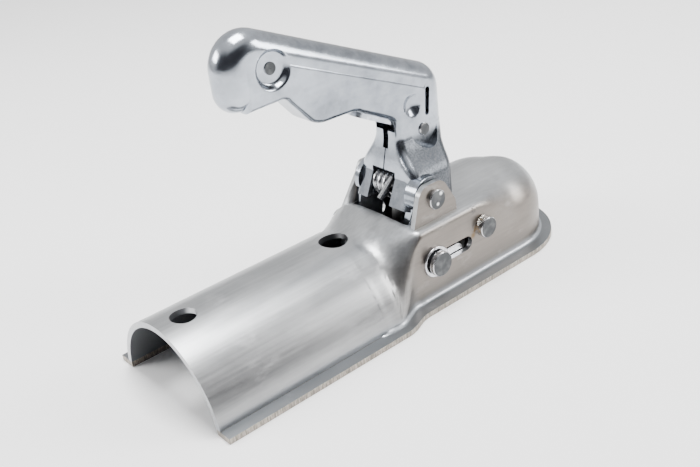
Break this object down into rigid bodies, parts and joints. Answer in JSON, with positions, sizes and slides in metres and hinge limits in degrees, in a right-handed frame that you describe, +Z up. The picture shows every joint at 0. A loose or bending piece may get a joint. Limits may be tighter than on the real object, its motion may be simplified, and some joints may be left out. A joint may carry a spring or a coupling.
{
  "type": "trailer coupling head",
  "caption": "Pressed-steel trailer coupling head with a tube seat, a domed ball socket and a hinged hollow handle that swings a jaw against the ball, shown open.",
  "frame": {"origin": "middle of the base, on the underside of the flange", "axes": "+X towards the nose that takes the ball, +Y across, +Z up"},
  "size_m": [0.1958, 0.075, 0.124],
  "materials": {
    "pressed_steel": "satin zinc-plated sheet",
    "zinc_handle": "bright zinc-plated sheet",
    "pin_steel": "zinc-plated rivet steel, matte ends",
    "washer_zinc": "bright zinc",
    "yoke_zinc": "bright zinc",
    "spring_steel": "bright drawn wire",
    "jaw_steel": "forged and zinc plated",
    "catch_zinc": "bright zinc"
  },
  "bodies": {
    "housing": {"coupling_body": "pressed_steel", "pivot_pin": "pin_steel", "jaw_pin": "pin_steel", "handle_spring": "spring_steel"},
    "handle_arm": {"handle": "zinc_handle", "grip_rivet": "pin_steel", "catch_rivet": "pin_steel", "catch_spring": "spring_steel"},
    "cross_slide": {"slot_pin": "pin_steel", "slot_washer_near": "washer_zinc", "slot_washer_far": "washer_zinc", "slot_spacer_near": "washer_zinc", "slot_spacer_far": "washer_zinc", "thrust_yoke": "yoke_zinc", "spring_guide": "pin_steel", "jaw_spring": "spring_steel"},
    "jaw_body": {"jaw": "jaw_steel", "spring_seat": "washer_zinc"},
    "catch_lever": {"safety_catch": "catch_zinc"}
  },
  "joints": [
    {"name": "handle_hinge", "type": "hinge", "parent": "housing", "child": "handle_arm", "pos_m": [0.01762, 0, 0.0425], "axis": [0, -1, 0], "range_deg": [0, 39.5], "stiffness_Nm_per_rad": 0.25, "springref_deg": -40.11, "deforming": ["handle_spring"]},
    {"name": "pin_slide", "type": "slide", "parent": "housing", "child": "cross_slide", "axis": [1, 0, 0], "range_m": [0, 0.0175], "deforming": ["jaw_spring"]},
    {"name": "jaw_hinge", "type": "hinge", "parent": "housing", "child": "jaw_body", "pos_m": [0.03982, 0, 0.0225], "axis": [0, -1, 0], "range_deg": [0, 22]},
    {"name": "catch_hinge", "type": "hinge", "parent": "handle_arm", "child": "catch_lever", "pos_m": [0.02962, 0, 0.064], "axis": [0, 1, 0], "range_deg": [0, 8], "stiffness_Nm_per_rad": 0.05, "springref_deg": -22.92, "deforming": ["catch_spring"]}
  ],
  "couplings": [
    {"joint": "pin_slide", "follows": "handle_hinge", "m_per_rad": 0.025384},
    {"joint": "jaw_hinge", "follows": "handle_hinge", "ratio": 0.55696}
  ]
}
